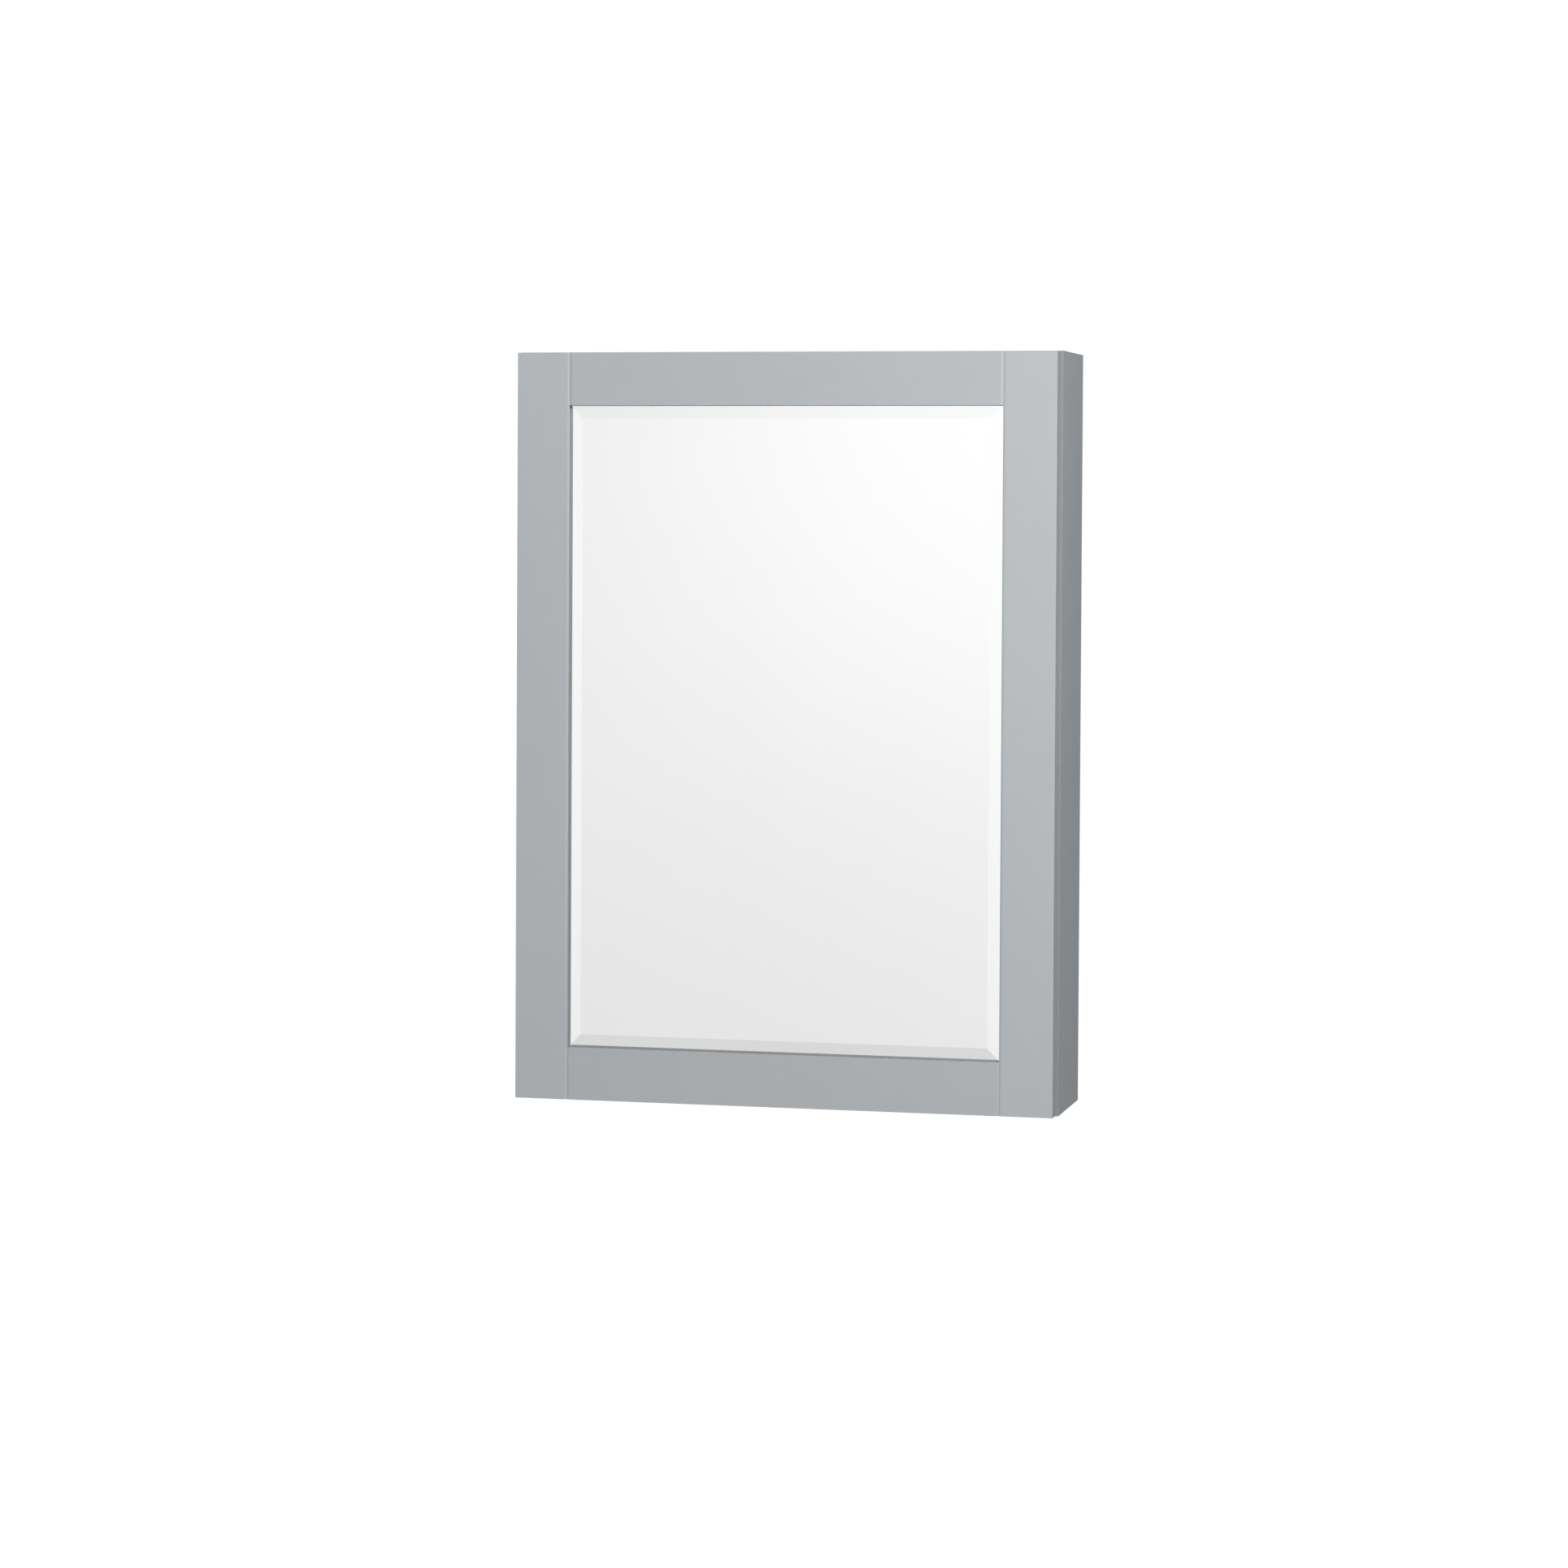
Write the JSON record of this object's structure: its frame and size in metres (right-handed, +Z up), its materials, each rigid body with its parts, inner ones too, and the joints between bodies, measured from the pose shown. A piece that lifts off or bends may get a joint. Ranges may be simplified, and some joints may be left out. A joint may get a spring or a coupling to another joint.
{
  "type": "hanging wall cabinet",
  "caption": "Shallow cabinet that hangs on a wall, with a framed mirrored door on pinned hinges over glass shelves.",
  "frame": {"origin": "centre of the four wall fixing holes, on the wall plane, which is also the centre of the cabinet's back", "axes": "+Z up, +Y into the wall, the door faces -Y, +X to the right as seen from the front"},
  "size_m": [0.5631, 0.143, 0.762],
  "materials": {
    "painted_wood": "satin grey paint",
    "painted_back": "satin grey paint on thin board",
    "raw_wood": "sanded pine",
    "dowel_wood": "beech",
    "nickel": "satin nickel plate",
    "zinc_screws": "bright zinc plate",
    "pole_steel": "rolled steel",
    "catch_plastic": "moulded",
    "magnet": "ground ferrite",
    "mirror_pane": "polished, bevelled",
    "silvering": "silvered back",
    "foam": "closed-cell foam tape",
    "shelf_glass": "polished edges",
    "clear_rubber": "soft, clear"
  },
  "bodies": {
    "cabinet": {"side_panel_left": "painted_wood", "side_panel_right": "painted_wood", "top_panel": "painted_wood", "bottom_panel": "painted_wood", "back_panel": "painted_back", "hanging_rail_upper": "raw_wood", "hanging_rail_lower": "raw_wood", "panel_dowels": "dowel_wood", "rail_dowels": "dowel_wood", "shelf_pins_upper": "nickel", "shelf_pins_middle": "nickel", "shelf_pins_lower": "nickel", "shelf_pads": "clear_rubber", "hinge_frame_leaf_upper": "nickel", "hinge_frame_leaf_lower": "nickel", "hinge_pin_upper": "nickel", "hinge_pin_lower": "nickel", "frame_leaf_screws": "zinc_screws", "catch_housing": "catch_plastic", "catch_poles": "pole_steel", "catch_magnet": "magnet", "catch_screws": "zinc_screws"},
    "door": {"door_stile_left": "painted_wood", "door_stile_right": "painted_wood", "door_rail_top": "painted_wood", "door_rail_bottom": "painted_wood", "mirror_glass": "mirror_pane", "mirror_silver": "silvering", "foam_tape": "foam", "door_back_panel": "painted_back", "back_panel_screws": "zinc_screws", "hinge_door_leaf_upper": "nickel", "hinge_door_leaf_lower": "nickel", "door_leaf_screws": "zinc_screws", "catch_strike": "zinc_screws", "strike_screw": "zinc_screws", "door_bumpers": "clear_rubber"},
    "upper_shelf": {"glass_shelf_upper": "shelf_glass"},
    "middle_shelf": {"glass_shelf_middle": "shelf_glass"},
    "lower_shelf": {"glass_shelf_lower": "shelf_glass"}
  },
  "joints": [
    {"name": "door_hinge", "type": "hinge", "parent": "cabinet", "child": "door", "pos_m": [-0.2806, -0.1243, 0], "axis": [0, 0, -1], "range_deg": [0, 180]},
    {"name": "upper_shelf_lift", "type": "slide", "parent": "cabinet", "child": "upper_shelf", "axis": [0, 0, 1], "range_m": [0, 0.02]},
    {"name": "middle_shelf_lift", "type": "slide", "parent": "cabinet", "child": "middle_shelf", "axis": [0, 0, 1], "range_m": [0, 0.02]},
    {"name": "lower_shelf_lift", "type": "slide", "parent": "cabinet", "child": "lower_shelf", "axis": [0, 0, 1], "range_m": [0, 0.02]}
  ]
}
